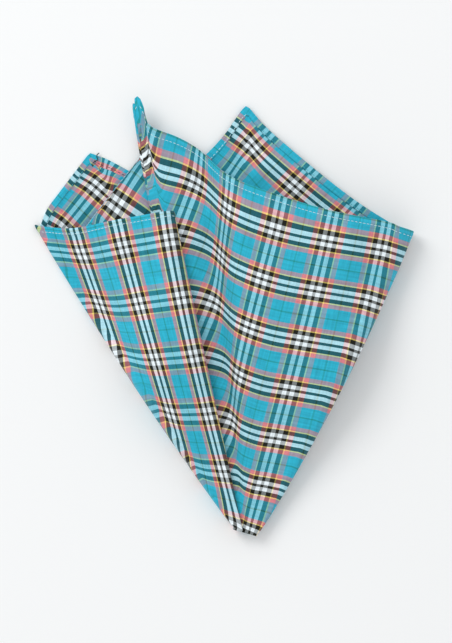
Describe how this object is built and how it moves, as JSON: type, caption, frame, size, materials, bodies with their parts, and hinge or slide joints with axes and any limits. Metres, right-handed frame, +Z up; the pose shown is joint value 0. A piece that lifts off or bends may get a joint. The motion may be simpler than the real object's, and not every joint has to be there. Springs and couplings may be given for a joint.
{
  "type": "folded cotton handkerchief",
  "caption": "Checked cotton handkerchief, pinched near its middle and laid flat with its hemmed corners fanned out, as a folded pocket cloth or soft prop.",
  "frame": {"origin": "middle of the bounding box in plan, at the height of the surface that the cloth lies on", "axes": "+Z up, the way the picture looks down; +Y from the pinched tip towards the fanned-out corners, the top of the picture; +X to the right of the picture"},
  "size_m": [0.2544, 0.2951, 0.0352],
  "materials": {
    "woven_cotton": "yarn-dyed plain-weave cotton, matt: turquoise ground crossed by dark green, white, coral and thin yellow stripes"
  },
  "bodies": {
    "root": {"handkerchief": "woven_cotton"}
  },
  "joints": []
}
